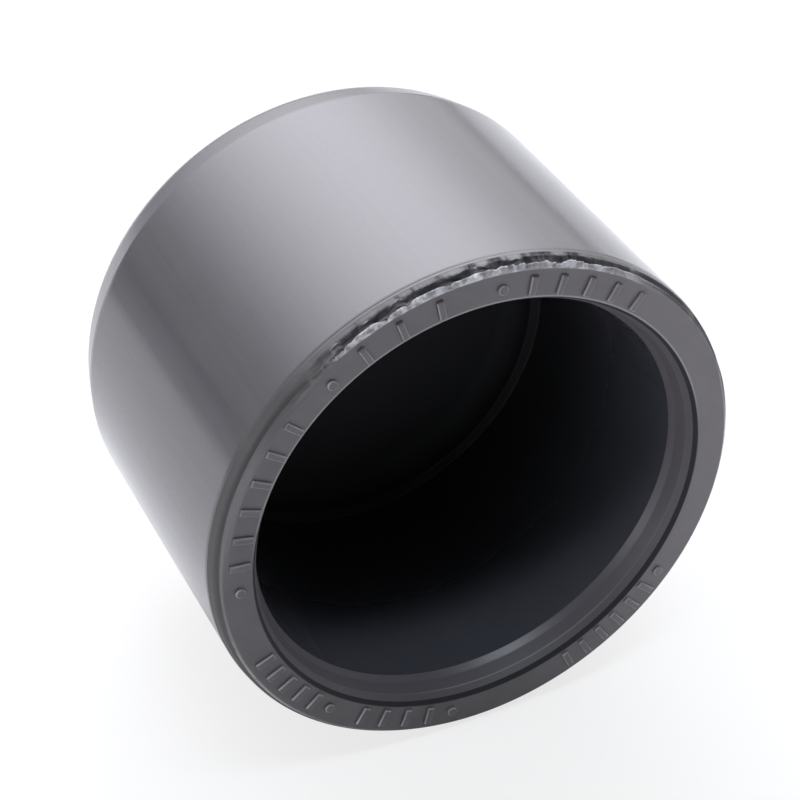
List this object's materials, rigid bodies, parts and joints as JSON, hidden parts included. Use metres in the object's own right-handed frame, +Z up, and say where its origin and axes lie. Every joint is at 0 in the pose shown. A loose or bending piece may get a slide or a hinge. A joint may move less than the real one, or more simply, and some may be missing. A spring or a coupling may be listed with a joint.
{
  "type": "pipe end cap",
  "caption": "Round grey plastic end cap: a cup with a slightly tapered solvent-weld socket, an inner pipe stop and a thick closed end, for sealing the end of a pressure pipe.",
  "frame": {"origin": "on the surface that the cap lies on, under the middle of its length and width", "axes": "+Y along the cap's axis from the open mouth to the closed end, +Z up, the cap lying on its round side"},
  "size_m": [0.05, 0.036, 0.05],
  "materials": {
    "grey_pvc": "satin"
  },
  "bodies": {
    "root": {"cap_body": "grey_pvc"}
  },
  "joints": []
}
